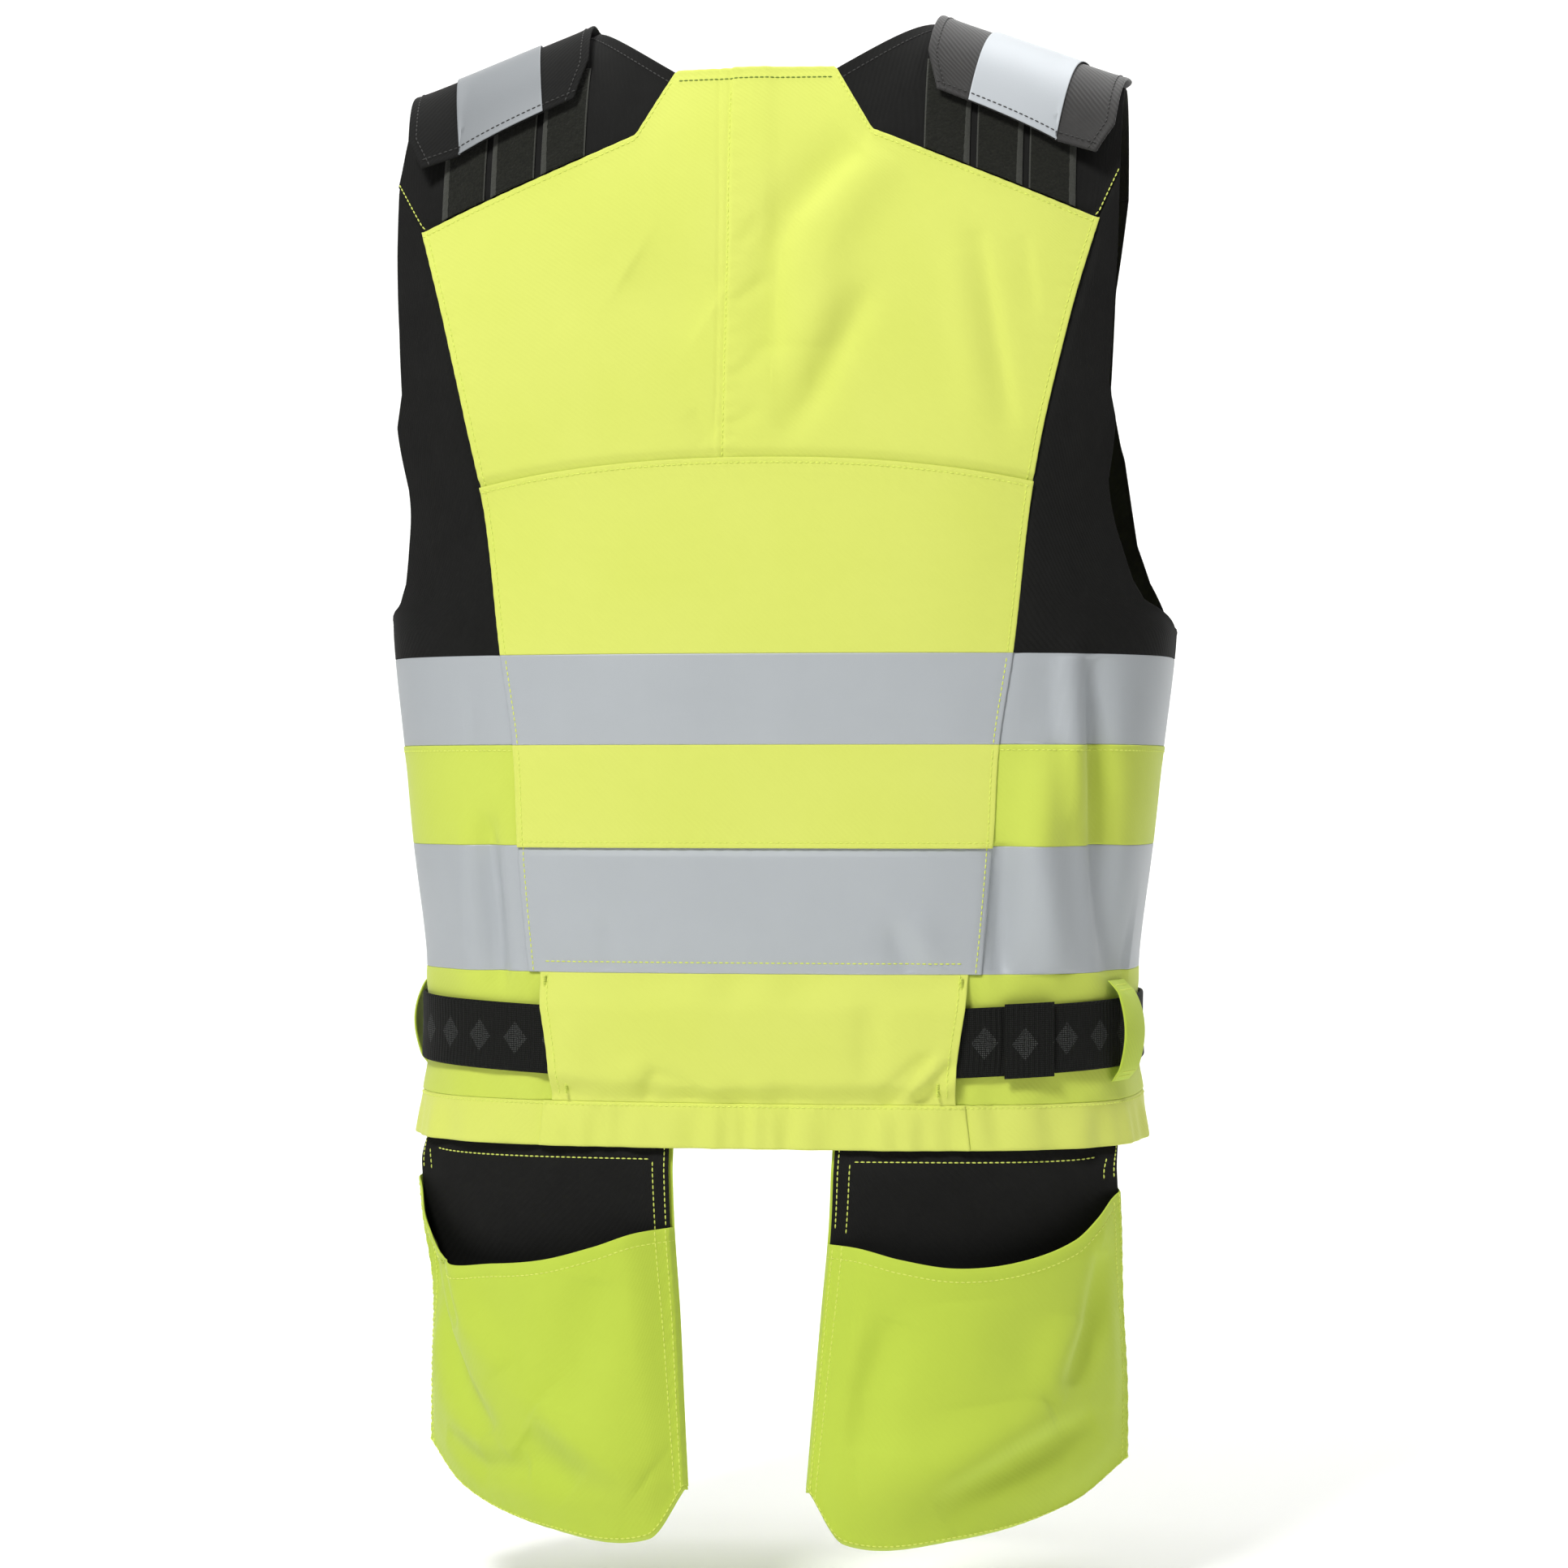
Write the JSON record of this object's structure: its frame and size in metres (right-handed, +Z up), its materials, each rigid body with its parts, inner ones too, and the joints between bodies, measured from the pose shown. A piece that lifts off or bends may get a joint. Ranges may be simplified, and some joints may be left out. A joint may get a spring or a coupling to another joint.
{
  "type": "utility work vest",
  "caption": "Sleeveless high-visibility work vest with reflective tapes, shoulder flaps, a webbing belt and hanging hip pockets, held in its worn form.",
  "frame": {"origin": "middle of the neck opening, level with the shoulder line where the vest is held up", "axes": "+Z up, the back of the vest faces -Y, the chest faces +Y, +X is the wearer's right"},
  "size_m": [0.452, 0.2703, 0.8443],
  "materials": {
    "hi_vis_cloth": "woven polyester, matt, bright fluorescent yellow",
    "black_cloth": "twill weave, matt black",
    "reflective_tape": "fine grey retroreflective cloth, satin",
    "loop_tape": "fuzzy loop pile with woven edges",
    "webbing": "ribbed elastic webbing with a plain woven pattern",
    "pocket_cloth": "woven polyester, matt, yellow green",
    "zip_plastic": "moulded, slightly satin"
  },
  "bodies": {
    "root": {"back_lower_flap": "hi_vis_cloth", "back_middle_panel": "hi_vis_cloth", "back_strip": "hi_vis_cloth", "back_tape_lower": "reflective_tape", "back_tape_upper": "reflective_tape", "back_upper_panel": "hi_vis_cloth", "belt_clasp": "zip_plastic", "belt_free_end": "webbing", "belt_loop_left": "pocket_cloth", "belt_loop_right": "pocket_cloth", "belt_webbing": "webbing", "flap_tape_left": "reflective_tape", "flap_tape_right": "reflective_tape", "front_panel_left": "black_cloth", "front_panel_right": "black_cloth", "front_zip": "zip_plastic", "hem_back": "hi_vis_cloth", "loop_strip_inner_left": "loop_tape", "loop_strip_inner_right": "loop_tape", "loop_strip_middle_left": "loop_tape", "loop_strip_middle_right": "loop_tape", "loop_strip_outer_left": "loop_tape", "loop_strip_outer_right": "loop_tape", "pocket_backing_left": "pocket_cloth", "pocket_backing_right": "pocket_cloth", "pocket_panel_left": "black_cloth", "pocket_panel_right": "black_cloth", "pocket_pouch_left": "pocket_cloth", "pocket_pouch_right": "pocket_cloth", "shoulder_flap_left": "black_cloth", "shoulder_flap_right": "black_cloth", "shoulder_yoke_left": "black_cloth", "shoulder_yoke_right": "black_cloth", "side_hem_left": "hi_vis_cloth", "side_hem_right": "hi_vis_cloth", "side_lower_left": "hi_vis_cloth", "side_lower_right": "hi_vis_cloth", "side_panel_left": "black_cloth", "side_panel_right": "black_cloth", "side_strip_left": "hi_vis_cloth", "side_strip_right": "hi_vis_cloth", "side_tape_lower_left": "reflective_tape", "side_tape_lower_right": "reflective_tape", "side_tape_upper_left": "reflective_tape", "side_tape_upper_right": "reflective_tape"}
  },
  "joints": []
}
